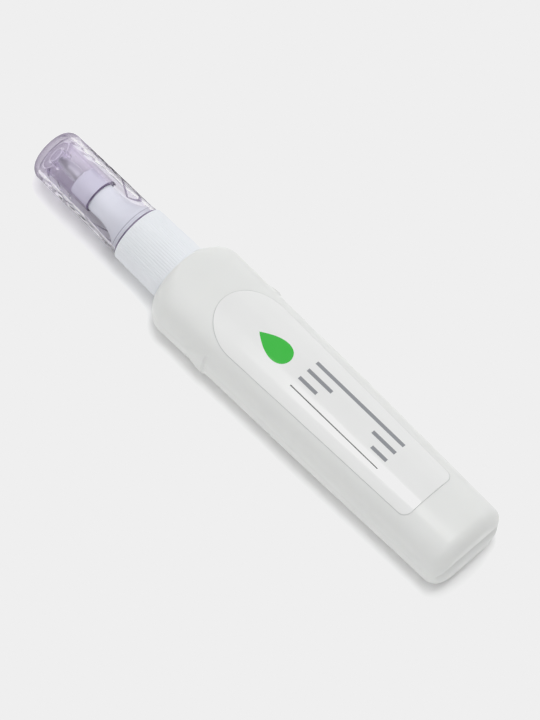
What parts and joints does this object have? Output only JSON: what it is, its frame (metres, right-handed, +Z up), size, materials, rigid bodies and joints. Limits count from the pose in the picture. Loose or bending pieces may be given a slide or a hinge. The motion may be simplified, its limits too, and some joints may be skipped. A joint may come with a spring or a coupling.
{
  "type": "correction pen",
  "caption": "Flattened squeeze-bottle correction pen with a ribbed collar, a sprung needle tip in a flared nozzle, a mixing ball and a clear push-on cap.",
  "frame": {"origin": "middle of the pen's length and width, on the surface that its flat back lies on", "axes": "+Y along the pen from its base to its cap, +Z up through the label, +X across its width"},
  "size_m": [0.0244, 0.1324, 0.0157],
  "materials": {
    "bottle_plastic": "satin milky blow-moulded plastic",
    "label_film": "glossy printed film",
    "head_plastic": "satin cool white moulding",
    "tip_metal": "turned nickel silver",
    "needle_steel": "ground steel",
    "valve_plastic": "natural moulding",
    "spring_steel": "drawn wire",
    "ball_steel": "polished ball",
    "cap_plastic": "clear pale lilac moulding"
  },
  "bodies": {
    "barrel": {"squeeze_bottle": "bottle_plastic", "front_label": "label_film", "nozzle_head": "head_plastic", "tip_tube": "tip_metal", "spring_retainer": "valve_plastic", "return_spring": "spring_steel"},
    "needle": {"valve_needle": "needle_steel", "needle_slider": "valve_plastic"},
    "ball": {"mixing_ball": "ball_steel"},
    "cap": {"cap_shell": "cap_plastic"}
  },
  "joints": [
    {"name": "cap_pull", "type": "slide", "parent": "barrel", "child": "cap", "axis": [0, 1, 0], "range_m": [0, 0.045]},
    {"name": "needle_press", "type": "slide", "parent": "barrel", "child": "needle", "axis": [0, -1, 0], "range_m": [0, 0.00045], "stiffness_N_per_m": 250, "deforming": ["return_spring"]},
    {"name": "ball_roll", "type": "slide", "parent": "barrel", "child": "ball", "axis": [0, 1, 0], "range_m": [-0.0055, 0.075]}
  ]
}
